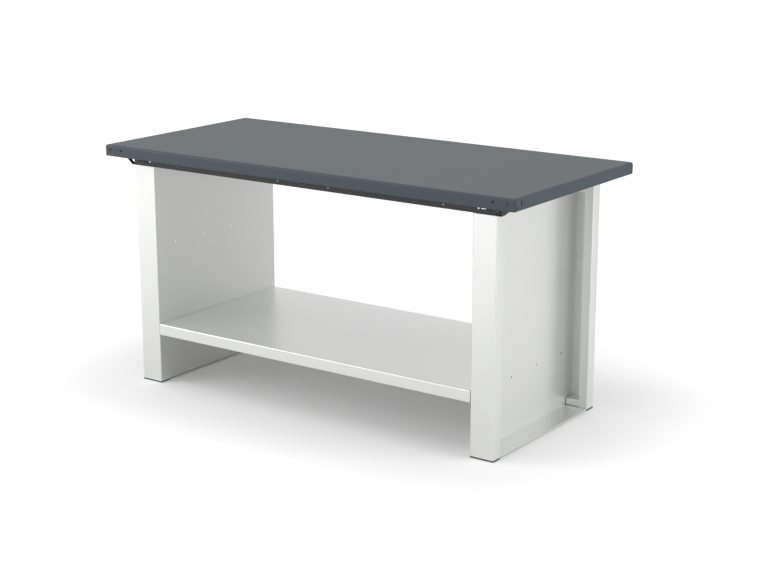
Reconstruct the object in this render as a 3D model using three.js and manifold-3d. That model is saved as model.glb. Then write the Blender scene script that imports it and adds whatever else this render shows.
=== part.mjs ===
// A sheet steel workbench: a folded worktop tray on a frame of rails, two pressed end
// frames that stand on flat pads, and a low shelf between them.
// Millimetres, +X along the bench, +Y to the back, +Z up. The origin is on the floor,
// under the middle of the bench.
import * as THREE from "three";
import { mergeVertices } from "three/addons/utils/BufferGeometryUtils.js";
import Module from "manifold-3d";

const wasm = await Module();
wasm.setup();

// Overall size
const benchLength = 1650;
const benchDepth = 750;
const benchHeight = 850;

// Worktop tray: one sheet with four skirts and a return along each skirt's foot
const topSheet = 2;
const topBend = 8;
const skirtHeight = 40;
const skirtBend = 3;
const longReturn = 18;
const endReturn = 40;
const cornerSlit = 3;

// Accessory holes in the skirts
const skirtHoleRadius = 3.5;
const leftSkirtHoleInset = 21;
const rightSkirtHoleInset = 25;
const skirtHolePitch = 50;
const skirtHoleDrop = 17;
const cornerHoleRadius = 2.8;
const cornerHoleInset = 17;
const cornerHoleRise = 11.5;
const pivotHoleRadius = 2.2;
const pivotInset = 54;
const pivotDrop = 19;
const arcSlotRadius = 15.5;
const arcSlotWidth = 5;
const arcSlotHalfSpread = 27;
const arcSlotTurn = 7;

// Where the frame stands under the worktop
const endOverhang = 89;
const longOverhang = 51;

// End frames: each is one sheet, folded into a web and two open posts
const frameSheet = 2;
const frameBend = 1.5;
const postWidth = 86;
const postDepth = 44;
const postLip = 32;
const topFlange = 40;
const foldRelief = 2;

// Holes in the end frames
const webHoleRadius = 3;
const webHolesPerRow = 4;
const leftWebHolePitch = 150;
const rightWebHolePitch = 161;
const accessoryRowHeight = 500;
const backHoleRadius = 2.2;
const backHoleInset = 13;
const backHolePitch = 247.5;
const backHoleCount = 2;
const flankHoleRadius = 1.6;
const flankHoleInset = 9;
const flankHoleHeightShares = [0.035, 0.504, 0.829, 0.971];
const baseHoleRadius = 2.5;
const baseHoleInset = 46;
const baseHolePostGap = 29;

// Foot pads and the brackets that close the foot and the head of each post
const padHeight = 5;
const padCorner = 3;
const pegRadius = 4;
const pegHeight = 6;
const pegSpacing = 44;
const bracketSheet = 2;
const bracketBend = 1;
const bracketPlay = 2;
const footBoxHeight = 26;
const headBracketInset = 1.5;
const headBracketDrop = 30;

// Long rails, with a brace at each end that carries the overhang of the worktop
const railSheet = 2;
const railBend = 1.5;
const railHeight = 68;
const railFlange = 40;
const railSetback = 4;
const mountHoleRise = 17.5;
const mountSlotInset = 45.5;
const mountSlotLength = 25;
const mountSlotHeight = 4;
const mountHoleOffset = 22;
const mountHoleRadius = 4;
const hangingHoleRise = 12.5;
const hangingHoleRadius = 2;
const hangingHoleInner = 103;
const hangingHoleOuter = 543;
const braceWidth = 14;
const braceRun = 7;
const braceSlope = 40;
const braceTab = 18;

// Side rails, which close the frame at both ends
const sideRailOutset = 8;
const sideRailFlange = 38;
const sideRailLip = 12;
const sideFlangePlay = 2;

// Hat-section ribs under the worktop
const ribSheet = 1.5;
const ribBend = 1.5;
const ribCount = 4;
const ribDepth = 30;
const ribMouth = 50;
const ribFoot = 34;
const ribFlange = 18;
const ribEndPlay = 3;

// Shelf and its ribs
const shelfSheet = 1.5;
const shelfBend = 1.5;
const shelfTop = 218;
const shelfLip = 40;
const shelfReturn = 15;
const shelfEndGap = 2;
const shelfScrewDrop = 18;
const shelfFoldReach = 12;
const shelfRibCount = 2;
const shelfRibDepth = 24;

// Fasteners
const shankSides = 8;
const hexSides = 6;
const boltRadius = 4;
const boltHeadRadius = 7.5;
const boltHeadHeight = 5.3;
const boltTip = 2;
const boltsPerPost = 2;
const boltSpacing = 36;
const weldNutHeight = 6.5;
const studRadius = 3;
const studTip = 2;
const studNutRadius = 5.8;
const studNutHeight = 5;
const studsPerRail = 3;
const longStudSpacing = 560;
const studsPerSideRail = 2;
const sideStudSpacing = 330;
const screwRadius = 2.7;
const screwHeadRadius = 4.5;
const screwHeadHeight = 2.5;
const rivetRadius = 2.4;
const rivetHeadRadius = 4.5;
const rivetHeadHeight = 1.5;

// Shared play and overrun, and the fineness of round forms
const snugPlay = 0.3;
const boltPlay = 0.5;
const cutOverrun = 5;
const bendSteps = 2;
const topBendSteps = 4;
const holeSides = 12;

// Planes that several pieces share
const halfLength = benchLength / 2;
const halfDepth = benchDepth / 2;
const topUnderside = benchHeight - topSheet;
const skirtFoot = benchHeight - skirtHeight;
const frameEnd = halfLength - endOverhang;
const frameFace = halfDepth - longOverhang;
const webFace = frameEnd - postWidth;
const postBack = frameFace - postDepth;
const postTop = topUnderside - railHeight;
const postMiddleX = frameEnd - postWidth / 2;
const postMiddleY = frameFace - postDepth / 2;
const railEnd = frameEnd - railSetback;
const bracketTop = postTop - headBracketInset;
const sideRailFace = frameEnd + sideRailOutset;
const shelfScrewHeight = shelfTop - shelfScrewDrop;
const boxTop = padHeight + footBoxHeight;

// Paints and plastics
const paints = {
  worktop: { color: 0x595f63, roughness: 0.5, metalness: 0.1 },
  underframe: { color: 0x3c3e40, roughness: 0.55, metalness: 0.1 },
  frame: { color: 0xe4e6e2, roughness: 0.45, metalness: 0.05 },
  pad: { color: 0x3b4650, roughness: 0.7, metalness: 0 },
  zinc: { color: 0xb4b8ba, roughness: 0.35, metalness: 0.9 },
  blackened: { color: 0x222426, roughness: 0.5, metalness: 0.6 },
};

// Turns a three.js geometry into a solid that can be joined and cut
function toSolid(geometry) {
  const plain = geometry.clone();
  plain.deleteAttribute("normal");
  plain.deleteAttribute("uv");
  const merged = mergeVertices(plain);
  const mesh = new wasm.Mesh({
    numProp: 3,
    vertProperties: Float32Array.from(merged.attributes.position.array),
    triVerts: Uint32Array.from(merged.index.array),
  });
  return new wasm.Manifold(mesh);
}

// Turns a solid back into a geometry
function toGeometry(solid) {
  const mesh = solid.getMesh();
  const geometry = new THREE.BufferGeometry();
  geometry.setAttribute("position", new THREE.BufferAttribute(mesh.vertProperties, 3));
  geometry.setIndex(new THREE.BufferAttribute(mesh.triVerts, 1));
  geometry.computeVertexNormals();
  return geometry;
}

function join(solids) {
  return solids.reduce((whole, solid) => whole.add(solid));
}

function cut(solid, tools) {
  return tools.reduce((whole, tool) => whole.subtract(tool), solid);
}

// A block between two opposite corners, each given as [x, y, z]
function block(low, high) {
  const size = low.map((value, i) => high[i] - value);
  const geometry = new THREE.BoxGeometry(...size);
  geometry.translate(...low.map((value, i) => value + size[i] / 2));
  return toSolid(geometry);
}

// A round or hexagonal bar along an axis, from low to high on it, through [x, y, z]
function bar(axis, radius, sides, low, high, through) {
  const geometry = new THREE.CylinderGeometry(radius, radius, high - low, sides);
  const place = new THREE.Vector3(...through);
  if (axis === "x") {
    geometry.rotateZ(-Math.PI / 2);
  }
  if (axis === "z") {
    geometry.rotateX(Math.PI / 2);
  }
  place[axis] = (low + high) / 2;
  geometry.translate(place.x, place.y, place.z);
  return toSolid(geometry);
}

// A flat outline drawn out along an axis, from low to high on it. Along x the outline
// is drawn in (y, z), along y in (x, z), and along z in (x, y).
function drawnOut(outline, axis, low, high, steps = bendSteps) {
  const settings = { depth: high - low, bevelEnabled: false, curveSegments: steps };
  const geometry = new THREE.ExtrudeGeometry(outline, settings);
  const x = new THREE.Vector3(1, 0, 0);
  const y = new THREE.Vector3(0, 1, 0);
  const z = new THREE.Vector3(0, 0, 1);
  const turn = new THREE.Matrix4();
  if (axis === "x") {
    geometry.applyMatrix4(turn.makeBasis(y, z, x).setPosition(low, 0, 0));
  }
  if (axis === "y") {
    geometry.applyMatrix4(turn.makeBasis(x, z, y.negate()).setPosition(0, high, 0));
  }
  if (axis === "z") {
    geometry.translate(0, 0, low);
  }
  return toSolid(geometry);
}

// The round bend that a sheet's middle line makes at a corner
function bendAt(before, corner, after, radius) {
  const into = corner.clone().sub(before).normalize();
  const outOf = after.clone().sub(corner).normalize();
  const turn = Math.sign(into.cross(outOf));
  const sweep = Math.acos(THREE.MathUtils.clamp(into.dot(outOf), -1, 1));
  const leftIn = new THREE.Vector2(-into.y, into.x);
  const leftOut = new THREE.Vector2(-outOf.y, outOf.x);
  const start = corner.clone().addScaledVector(into, -radius * Math.tan(sweep / 2));
  const centre = start.addScaledVector(leftIn, turn * radius);
  const startAngle = Math.atan2(-turn * leftIn.y, -turn * leftIn.x);
  const endAngle = Math.atan2(-turn * leftOut.y, -turn * leftOut.x);
  return { centre, radius, turn, startAngle, endAngle };
}

// The outline of a bent sheet, from the corners [u, v] of its middle line
function bentSheet(corners, sheet, insideBend) {
  const half = sheet / 2;
  const line = corners.map(([u, v]) => new THREE.Vector2(u, v));
  const middleBend = insideBend + half;
  const bends = line.slice(1, -1).map((corner, i) => bendAt(line[i], corner, line[i + 2], middleBend));
  const ends = [
    [line[0], line[1].clone().sub(line[0]).normalize()],
    [line.at(-1), line.at(-1).clone().sub(line.at(-2)).normalize()],
  ];
  const side = ([point, along], sign) => [point.x - sign * half * along.y, point.y + sign * half * along.x];
  const outline = new THREE.Shape();
  outline.moveTo(...side(ends[0], -1));
  outline.lineTo(...side(ends[0], 1));
  for (const bend of bends) {
    const radius = bend.radius - bend.turn * half;
    outline.absarc(...bend.centre, radius, bend.startAngle, bend.endAngle, bend.turn < 0);
  }
  outline.lineTo(...side(ends[1], 1));
  outline.lineTo(...side(ends[1], -1));
  for (const bend of bends.toReversed()) {
    const radius = bend.radius + bend.turn * half;
    outline.absarc(...bend.centre, radius, bend.endAngle, bend.startAngle, bend.turn > 0);
  }
  outline.closePath();
  return outline;
}

// A rectangle about u = 0 with one radius at its upper corners and one at its lower
function roundedSection(width, low, high, upperRadius, lowerRadius) {
  const half = width / 2;
  const outline = new THREE.Shape();
  outline.moveTo(-half + lowerRadius, low);
  outline.lineTo(half - lowerRadius, low);
  outline.absarc(half - lowerRadius, low + lowerRadius, lowerRadius, -Math.PI / 2, 0, false);
  outline.lineTo(half, high - upperRadius);
  outline.absarc(half - upperRadius, high - upperRadius, upperRadius, 0, Math.PI / 2, false);
  outline.lineTo(-half + upperRadius, high);
  outline.absarc(-half + upperRadius, high - upperRadius, upperRadius, Math.PI / 2, Math.PI, false);
  outline.lineTo(-half, low + lowerRadius);
  outline.absarc(-half + lowerRadius, low + lowerRadius, lowerRadius, Math.PI, 1.5 * Math.PI, false);
  outline.closePath();
  return outline;
}

// A slot with round ends, along u, about [u, v]
function longSlot([u, v], length, height) {
  const radius = height / 2;
  const reach = length / 2 - radius;
  const outline = new THREE.Shape();
  outline.moveTo(u - reach, v - radius);
  outline.lineTo(u + reach, v - radius);
  outline.absarc(u + reach, v, radius, -Math.PI / 2, Math.PI / 2, false);
  outline.lineTo(u - reach, v + radius);
  outline.absarc(u - reach, v, radius, Math.PI / 2, 1.5 * Math.PI, false);
  outline.closePath();
  return outline;
}

// A slot that follows a circle about [u, v] and bulges towards -u, turned up a little
function arcSlot([u, v], radius, width, halfSpread, turn) {
  const half = width / 2;
  const from = Math.PI - THREE.MathUtils.degToRad(turn + halfSpread);
  const to = Math.PI - THREE.MathUtils.degToRad(turn - halfSpread);
  const end = (angle) => [u + radius * Math.cos(angle), v + radius * Math.sin(angle)];
  const outline = new THREE.Shape();
  outline.moveTo(u + (radius + half) * Math.cos(from), v + (radius + half) * Math.sin(from));
  outline.absarc(u, v, radius + half, from, to, false);
  outline.absarc(...end(to), half, to, to + Math.PI, false);
  outline.absarc(u, v, radius - half, to, from, true);
  outline.absarc(...end(from), half, from + Math.PI, from + 2 * Math.PI, false);
  outline.closePath();
  return outline;
}

// A hat section about u = 0, hung from the height given, mouth upwards
function hatSection(hungFrom, depth) {
  const upper = hungFrom - ribSheet / 2;
  const lower = hungFrom - depth + ribSheet / 2;
  const rightHalf = [[ribFoot / 2, lower], [ribMouth / 2, upper], [ribMouth / 2 + ribFlange, upper]];
  const leftHalf = rightHalf.map(([u, v]) => [-u, v]).reverse();
  return [...leftHalf, ...rightHalf];
}

// Places that are spread evenly about zero
function spread(count, pitch) {
  return Array.from({ length: count }, (_, i) => (i - (count - 1) / 2) * pitch);
}

const group = new THREE.Group();

function addPiece(name, solid, paint) {
  const mesh = new THREE.Mesh(toGeometry(solid), new THREE.MeshStandardMaterial(paints[paint]));
  mesh.name = name;
  group.add(mesh);
}

// Worktop: the shell of a box with rounded long edges, open below inside its returns
function worktopShell() {
  const acrossOuter = roundedSection(benchDepth, skirtFoot, benchHeight, topBend, skirtBend);
  const alongOuter = roundedSection(benchLength, skirtFoot, benchHeight, topBend, skirtBend);
  const outer = drawnOut(acrossOuter, "x", -halfLength, halfLength, topBendSteps)
    .intersect(drawnOut(alongOuter, "y", -halfDepth, halfDepth, topBendSteps));
  const insideX = halfLength - topSheet;
  const insideY = halfDepth - topSheet;
  const floor = skirtFoot + topSheet;
  const upper = topBend - topSheet;
  const lower = skirtBend - topSheet;
  const acrossInner = roundedSection(2 * insideY, floor, topUnderside, upper, lower);
  const alongInner = roundedSection(2 * insideX, floor, topUnderside, upper, lower);
  const inner = drawnOut(acrossInner, "x", -insideX, insideX, topBendSteps)
    .intersect(drawnOut(alongInner, "y", -insideY, insideY, topBendSteps));
  const mouth = block(
    [-halfLength + endReturn, -halfDepth + longReturn, skirtFoot - cutOverrun],
    [halfLength - endReturn, halfDepth - longReturn, floor + cutOverrun],
  );
  return cut(outer, [inner, mouth]);
}

// The open seams at one corner of the tray: one where the end skirt stops short of the
// long skirt, and an angled one that parts the end return from the long return
function cornerSeams(sideX, sideY) {
  const skirtSeam = block(
    [halfLength - topSheet, halfDepth - topSheet - cornerSlit, skirtFoot - cutOverrun],
    [halfLength + cutOverrun, halfDepth - topSheet, benchHeight - topBend],
  );
  const returnEnd = halfLength - endReturn;
  const returnSide = halfDepth - skirtBend;
  const longSeam = block(
    [returnEnd - cornerSlit, halfDepth - longReturn - cutOverrun, skirtFoot - cutOverrun],
    [returnEnd, returnSide, skirtFoot + topSheet + cutOverrun],
  );
  const endSeam = block(
    [returnEnd - cornerSlit, returnSide - cornerSlit, skirtFoot - cutOverrun],
    [halfLength - topSheet, returnSide, skirtFoot + topSheet + cutOverrun],
  );
  return [skirtSeam, longSeam, endSeam].map((tool) => placedAtCorner(tool, sideX, sideY));
}

// Turns a tool made for the corner at +x, +y to another corner of the bench
function placedAtCorner(tool, sideX, sideY) {
  const geometry = toGeometry(tool);
  geometry.scale(sideX, sideY, 1);
  if (sideX * sideY < 0) {
    geometry.setIndex(Array.from(geometry.index.array).reverse());
  }
  return toSolid(geometry);
}

function skirtHoleTools() {
  const tools = [];
  const height = benchHeight - skirtHoleDrop;
  const [front, back] = [-halfDepth - cutOverrun, halfDepth + cutOverrun];
  for (const [side, inset] of [[-1, leftSkirtHoleInset], [1, rightSkirtHoleInset]]) {
    for (const step of [0, skirtHolePitch]) {
      const place = [side * (halfLength - inset - step), 0, height];
      tools.push(bar("y", skirtHoleRadius, holeSides, front, back, place));
    }
  }
  return tools;
}

// Holes of one end skirt, near its front end: a corner hole, a pivot hole and an arc
// slot about the pivot
function endSkirtTools(side) {
  const low = Math.min(side * (halfLength - topSheet - cutOverrun), side * (halfLength + cutOverrun));
  const high = Math.max(side * (halfLength - topSheet - cutOverrun), side * (halfLength + cutOverrun));
  const pivot = [-halfDepth + pivotInset, benchHeight - pivotDrop];
  const slot = arcSlot(pivot, arcSlotRadius, arcSlotWidth, arcSlotHalfSpread, arcSlotTurn);
  const corner = [0, -halfDepth + cornerHoleInset, skirtFoot + cornerHoleRise];
  return [
    bar("x", cornerHoleRadius, holeSides, low, high, corner),
    bar("x", pivotHoleRadius, holeSides, low, high, [0, ...pivot]),
    drawnOut(slot, "x", low, high, topBendSteps),
  ];
}

// Where a brace's tab begins, under the end return
const braceCorner = sideRailFace + braceRun;
const braceRise = skirtFoot - postTop - railSheet;
const braceTabStart = braceCorner + braceRise / Math.tan(THREE.MathUtils.degToRad(braceSlope));
const rivetX = braceTabStart + braceTab / 2;
const rivetY = frameFace - braceWidth / 2;

function rivetTools() {
  const tools = [];
  for (const sideX of [-1, 1]) {
    for (const sideY of [-1, 1]) {
      const place = [sideX * rivetX, sideY * rivetY, 0];
      const low = skirtFoot - railSheet - cutOverrun;
      const high = skirtFoot + topSheet + cutOverrun;
      tools.push(bar("z", rivetRadius + snugPlay, holeSides, low, high, place));
    }
  }
  return tools;
}

function worktop() {
  const tools = [...skirtHoleTools(), ...endSkirtTools(-1), ...endSkirtTools(1), ...rivetTools()];
  for (const sideX of [-1, 1]) {
    for (const sideY of [-1, 1]) {
      tools.push(...cornerSeams(sideX, sideY));
    }
  }
  return cut(join([worktopShell(), ...studPlaces().map(stud)]), tools);
}

// Weld studs under the worktop: a row over each long rail, and two over each side rail
function longStudRow(sideY) {
  const y = sideY * (frameFace - railFlange / 2);
  return spread(studsPerRail, longStudSpacing).map((x) => [x, y]);
}

function sideStudRow(sideX) {
  const x = sideX * (sideRailFace - sideRailFlange / 2);
  return spread(studsPerSideRail, sideStudSpacing).map((y) => [x, y]);
}

function studPlaces() {
  return [-1, 1].flatMap((side) => [...longStudRow(side), ...sideStudRow(side)]);
}

function stud([x, y]) {
  const tip = topUnderside - railSheet - studNutHeight - studTip;
  return bar("z", studRadius, shankSides, tip, topUnderside + topSheet / 2, [x, y, 0]);
}

// A hexagonal nut about a shank, from low to high
function nut([x, y], radius, holeRadius, low, high) {
  const hole = bar("z", holeRadius, shankSides, low - cutOverrun, high + cutOverrun, [x, y, 0]);
  return bar("z", radius, hexSides, low, high, [x, y, 0]).subtract(hole);
}

function studNut(place) {
  const seat = topUnderside - railSheet;
  return nut(place, studNutRadius, studRadius + snugPlay, seat - studNutHeight, seat);
}

function studHoleTools() {
  const low = topUnderside - railSheet - cutOverrun;
  const high = topUnderside + cutOverrun;
  return studPlaces().map(([x, y]) => bar("z", studRadius + boltPlay, holeSides, low, high, [x, y, 0]));
}

// Bolts that hold the end of a long rail down on a post
function boltPlaces(sideX, sideY) {
  return spread(boltsPerPost, boltSpacing).map((x) => [sideX * postMiddleX + x, sideY * postMiddleY]);
}

function boltHoleTools(sideX, sideY, radius) {
  const low = bracketTop - bracketSheet - weldNutHeight - cutOverrun;
  const high = postTop + railSheet + cutOverrun;
  return boltPlaces(sideX, sideY).map(([x, y]) => bar("z", radius, holeSides, low, high, [x, y, 0]));
}

function frameBolt([x, y]) {
  const seat = postTop + railSheet;
  const tip = bracketTop - bracketSheet - weldNutHeight - boltTip;
  return join([
    bar("z", boltHeadRadius, hexSides, seat, seat + boltHeadHeight, [x, y, 0]),
    bar("z", boltRadius, shankSides, tip, seat + boltHeadHeight / 2, [x, y, 0]),
  ]);
}

// One long rail: a channel that opens to the middle, with a bent brace at each end
function longRail(sideY) {
  const half = railSheet / 2;
  const face = sideY * (frameFace - half);
  const edge = sideY * (frameFace - railFlange);
  const upper = topUnderside - half;
  const lower = postTop + half;
  const corners = [[edge, upper], [face, upper], [face, lower], [edge, lower]];
  const channel = bentSheet(corners, railSheet, railBend);
  const braceLow = Math.min(sideY * frameFace, sideY * (frameFace - braceWidth));
  const braces = [-1, 1].map((sideX) => {
    const line = [
      [sideX * (railEnd - railFlange), lower],
      [sideX * braceCorner, lower],
      [sideX * braceTabStart, skirtFoot - half],
      [sideX * (braceTabStart + braceTab), skirtFoot - half],
    ];
    return drawnOut(bentSheet(line, railSheet, railBend), "y", braceLow, braceLow + braceWidth);
  });
  const rail = join([drawnOut(channel, "x", -railEnd, railEnd), ...braces]);
  const boltHoles = [-1, 1].flatMap((sideX) => boltHoleTools(sideX, sideY, boltRadius + boltPlay));
  return cut(rail, [...railFaceTools(sideY), ...studHoleTools(), ...boltHoles, ...rivetTools()]);
}

function railFaceTools(sideY) {
  const low = Math.min(sideY * (frameFace - railSheet - cutOverrun), sideY * (frameFace + cutOverrun));
  const high = Math.max(sideY * (frameFace - railSheet - cutOverrun), sideY * (frameFace + cutOverrun));
  const mountHeight = postTop + mountHoleRise;
  const hangingHeight = postTop + hangingHoleRise;
  const tools = [];
  for (const side of [-1, 1]) {
    const slotMiddle = side * (frameEnd - mountSlotInset);
    const slot = longSlot([slotMiddle, mountHeight], mountSlotLength, mountSlotHeight);
    tools.push(drawnOut(slot, "y", low, high, topBendSteps));
    for (const offset of [-mountHoleOffset, mountHoleOffset]) {
      const place = [slotMiddle + offset, 0, mountHeight];
      tools.push(bar("y", mountHoleRadius, holeSides, low, high, place));
    }
    for (const x of [hangingHoleInner, hangingHoleOuter]) {
      const place = [side * x, 0, hangingHeight];
      tools.push(bar("y", hangingHoleRadius, holeSides, low, high, place));
    }
  }
  return tools;
}

// One side rail: a channel that opens to the middle. Past its flanges the web runs on
// over a brace at each end, and folds in to close the corner beside the long rail.
function sideRail(sideX) {
  const half = railSheet / 2;
  const face = sideX * (sideRailFace - half);
  const upper = topUnderside - half;
  const lower = postTop + railSheet + half;
  const corners = [
    [sideX * (sideRailFace - sideRailFlange), upper],
    [face, upper],
    [face, lower],
    [sideX * (sideRailFace - sideRailLip), lower],
  ];
  const flangeEnd = frameFace - railFlange - sideFlangePlay;
  const channel = drawnOut(bentSheet(corners, railSheet, railBend), "y", -flangeEnd, flangeEnd);
  const folds = [-1, 1].map((sideY) => {
    const foldLine = sideY * (frameFace - railSheet - snugPlay - half);
    const line = [
      [face, sideY * (flangeEnd - foldRelief)],
      [face, foldLine],
      [sideX * (railEnd + snugPlay), foldLine],
    ];
    return drawnOut(bentSheet(line, railSheet, railBend), "z", postTop + railSheet, topUnderside);
  });
  return cut(join([channel, ...folds]), studHoleTools());
}

// One end frame, folded from a single sheet: lip, flank, front, web, back, flank, lip
function endFrame(sideX, webHolePitch) {
  const half = frameSheet / 2;
  const web = sideX * (webFace + half);
  const flank = sideX * (frameEnd - half);
  const lipEdge = sideX * (frameEnd - postLip);
  const face = frameFace - half;
  const lip = postBack + half;
  const backHalf = [[web, face], [flank, face], [flank, lip], [lipEdge, lip]];
  const frontHalf = backHalf.map(([x, y]) => [x, -y]).reverse();
  const corners = [...frontHalf, ...backHalf];
  const sheet = drawnOut(bentSheet(corners, frameSheet, frameBend), "z", padHeight, postTop);
  const foldZone = frameSheet + frameBend;
  const cutX = [sideX * (webFace - cutOverrun), sideX * (webFace + frameSheet + cutOverrun)];
  const cleared = [
    [padHeight - cutOverrun, padHeight + foldZone],
    [postTop - foldZone, postTop + cutOverrun],
  ].map(([low, high]) => block(
    [Math.min(...cutX), -postBack, low],
    [Math.max(...cutX), postBack, high],
  ));
  const baseFold = [
    [web, padHeight + foldZone + cutOverrun],
    [web, padHeight + half],
    [sideX * frameEnd, padHeight + half],
  ];
  const headFold = [
    [web, postTop - foldZone - cutOverrun],
    [web, postTop - half],
    [sideX * (webFace + topFlange), postTop - half],
  ];
  const foldReach = postBack - foldRelief;
  const folds = [baseFold, headFold].map(
    (line) => drawnOut(bentSheet(line, frameSheet, frameBend), "y", -foldReach, foldReach),
  );
  return cut(join([cut(sheet, cleared), ...folds]), endFrameHoleTools(sideX, webHolePitch));
}

function endFrameHoleTools(sideX, webHolePitch) {
  const throughWeb = [sideX * (webFace - cutOverrun), sideX * (webFace + frameSheet + cutOverrun)];
  const throughFlank = [sideX * (frameEnd - frameSheet - cutOverrun), sideX * (frameEnd + cutOverrun)];
  const tools = [];
  for (const height of [shelfScrewHeight, accessoryRowHeight]) {
    for (const y of spread(webHolesPerRow, webHolePitch)) {
      const [low, high] = [Math.min(...throughWeb), Math.max(...throughWeb)];
      tools.push(bar("x", webHoleRadius, holeSides, low, high, [0, y, height]));
    }
  }
  for (const share of flankHoleHeightShares) {
    const height = padHeight + share * (postTop - padHeight);
    for (const sideY of [-1, 1]) {
      const place = [0, sideY * (postBack + flankHoleInset), height];
      const [low, high] = [Math.min(...throughFlank), Math.max(...throughFlank)];
      tools.push(bar("x", flankHoleRadius, holeSides, low, high, place));
    }
  }
  for (const sideY of [-1, 1]) {
    const place = [sideX * (frameEnd - baseHoleInset), sideY * (postBack - baseHolePostGap), 0];
    const high = padHeight + frameSheet + cutOverrun;
    tools.push(bar("z", baseHoleRadius, holeSides, padHeight - cutOverrun, high, place));
  }
  for (let i = 1; i <= backHoleCount; i += 1) {
    const place = [sideX * (webFace + backHoleInset), 0, i * backHolePitch];
    const low = frameFace - frameSheet - cutOverrun;
    tools.push(bar("y", backHoleRadius, holeSides, low, frameFace + cutOverrun, place));
  }
  return tools;
}

// Where a bracket lies along x inside a post, as [low, high]
function bracketRange(sideX) {
  const ends = [webFace + frameSheet + bracketPlay, frameEnd - frameSheet - bracketPlay];
  return ends.map((x) => sideX * x).sort((a, b) => a - b);
}

// Closes the head of a post, with weld nuts under it for the bolts of the rail
function headBracket(sideX, sideY) {
  const half = bracketSheet / 2;
  const inner = sideY * (postBack + frameSheet + half);
  const outer = sideY * (frameFace - frameSheet - half);
  const low = postTop - headBracketDrop;
  const plate = bracketTop - half;
  const corners = [[inner, low], [inner, plate], [outer, plate], [outer, low]];
  const bent = drawnOut(bentSheet(corners, bracketSheet, bracketBend), "x", ...bracketRange(sideX));
  const seat = bracketTop - bracketSheet;
  const nuts = boltPlaces(sideX, sideY).map(
    ([x, y]) => bar("z", boltHeadRadius, hexSides, seat - weldNutHeight, seat + half, [x, y, 0]),
  );
  return cut(join([bent, ...nuts]), boltHoleTools(sideX, sideY, boltRadius + snugPlay));
}

// A box-shaped bracket in the foot of a post, open to the post's face, over the pad
function footBracket(sideX, sideY) {
  const half = bracketSheet / 2;
  const inner = sideY * (postBack + frameSheet + half);
  const outer = sideY * (frameFace - frameSheet);
  const [low, high] = [padHeight + half, boxTop - half];
  const corners = [[outer, low], [inner, low], [inner, high], [outer, high]];
  const bent = drawnOut(bentSheet(corners, bracketSheet, bracketBend), "x", ...bracketRange(sideX));
  const reach = padHeight + bracketSheet + cutOverrun;
  return cut(bent, pegPlaces(sideX, sideY).map(
    (place) => bar("z", pegRadius + boltPlay, holeSides, padHeight - cutOverrun, reach, place),
  ));
}

function pegPlaces(sideX, sideY) {
  return spread(2, pegSpacing).map((x) => [sideX * postMiddleX + x, sideY * postMiddleY, 0]);
}

// A flat pad under a post, held by two pegs in the foot bracket
function footPad(sideX, sideY) {
  const outline = roundedSection(postWidth, -postDepth / 2, postDepth / 2, padCorner, padCorner);
  const geometry = new THREE.ExtrudeGeometry(outline, {
    depth: padHeight,
    bevelEnabled: false,
    curveSegments: bendSteps,
  });
  geometry.translate(sideX * postMiddleX, sideY * postMiddleY, 0);
  const pegTop = padHeight + bracketSheet + pegHeight;
  const pegs = pegPlaces(sideX, sideY).map(
    (place) => bar("z", pegRadius, shankSides, padHeight / 2, pegTop, place),
  );
  return join([toSolid(geometry), ...pegs]);
}

// The shelf: long lips with returns, and a flange down each end against the web
function shelf() {
  const half = shelfSheet / 2;
  const face = frameFace - half;
  const upper = shelfTop - half;
  const lower = shelfTop - shelfLip + half;
  const backHalf = [[face, upper], [face, lower], [frameFace - shelfReturn, lower]];
  const frontHalf = backHalf.map(([y, z]) => [-y, z]).reverse();
  const section = bentSheet([...frontHalf, ...backHalf], shelfSheet, shelfBend);
  const tray = drawnOut(section, "x", -webFace + shelfEndGap, webFace - shelfEndGap);
  const foldReach = frameFace - shelfSheet - shelfBend - foldRelief;
  const ends = [-1, 1].map((sideX) => {
    const corners = [
      [sideX * (webFace - shelfFoldReach), upper],
      [sideX * (webFace - half), upper],
      [sideX * (webFace - half), shelfTop - shelfLip],
    ];
    return drawnOut(bentSheet(corners, shelfSheet, shelfBend), "y", -foldReach, foldReach);
  });
  return cut(join([tray, ...ends]), shelfScrewHoles());
}

function shelfScrewPlaces(sideX) {
  const pitch = sideX < 0 ? leftWebHolePitch : rightWebHolePitch;
  return spread(webHolesPerRow, pitch).map((y) => [0, y, shelfScrewHeight]);
}

function shelfScrewHoles() {
  return [-1, 1].flatMap((sideX) => {
    const ends = [sideX * (webFace - shelfSheet - cutOverrun), sideX * (webFace + cutOverrun)];
    return shelfScrewPlaces(sideX).map(
      (place) => bar("x", webHoleRadius, holeSides, Math.min(...ends), Math.max(...ends), place),
    );
  });
}

// A screw from inside the shelf, through its end flange and the web
function shelfScrew(sideX, place) {
  const seat = webFace - shelfSheet;
  const shank = [sideX * (seat - screwHeadHeight / 2), sideX * (webFace + frameSheet)];
  const head = [sideX * (seat - screwHeadHeight), sideX * seat];
  return join([
    bar("x", screwRadius, shankSides, Math.min(...shank), Math.max(...shank), place),
    bar("x", screwHeadRadius, holeSides, Math.min(...head), Math.max(...head), place),
  ]);
}

// A rivet that holds the tab of a brace under the end return
function braceRivet(sideX, sideY) {
  const [low, high] = [skirtFoot - railSheet, skirtFoot + topSheet];
  const place = [sideX * rivetX, sideY * rivetY, 0];
  return join([
    bar("z", rivetRadius, shankSides, low - rivetHeadHeight / 2, high + rivetHeadHeight / 2, place),
    bar("z", rivetHeadRadius, shankSides, low - rivetHeadHeight, low, place),
    bar("z", rivetHeadRadius, shankSides, high, high + rivetHeadHeight, place),
  ]);
}

function topRib(x) {
  const section = hatSection(topUnderside, ribDepth).map(([u, v]) => [u + x, v]);
  const reach = frameFace - railFlange - ribEndPlay;
  return drawnOut(bentSheet(section, ribSheet, ribBend), "y", -reach, reach);
}

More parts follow.
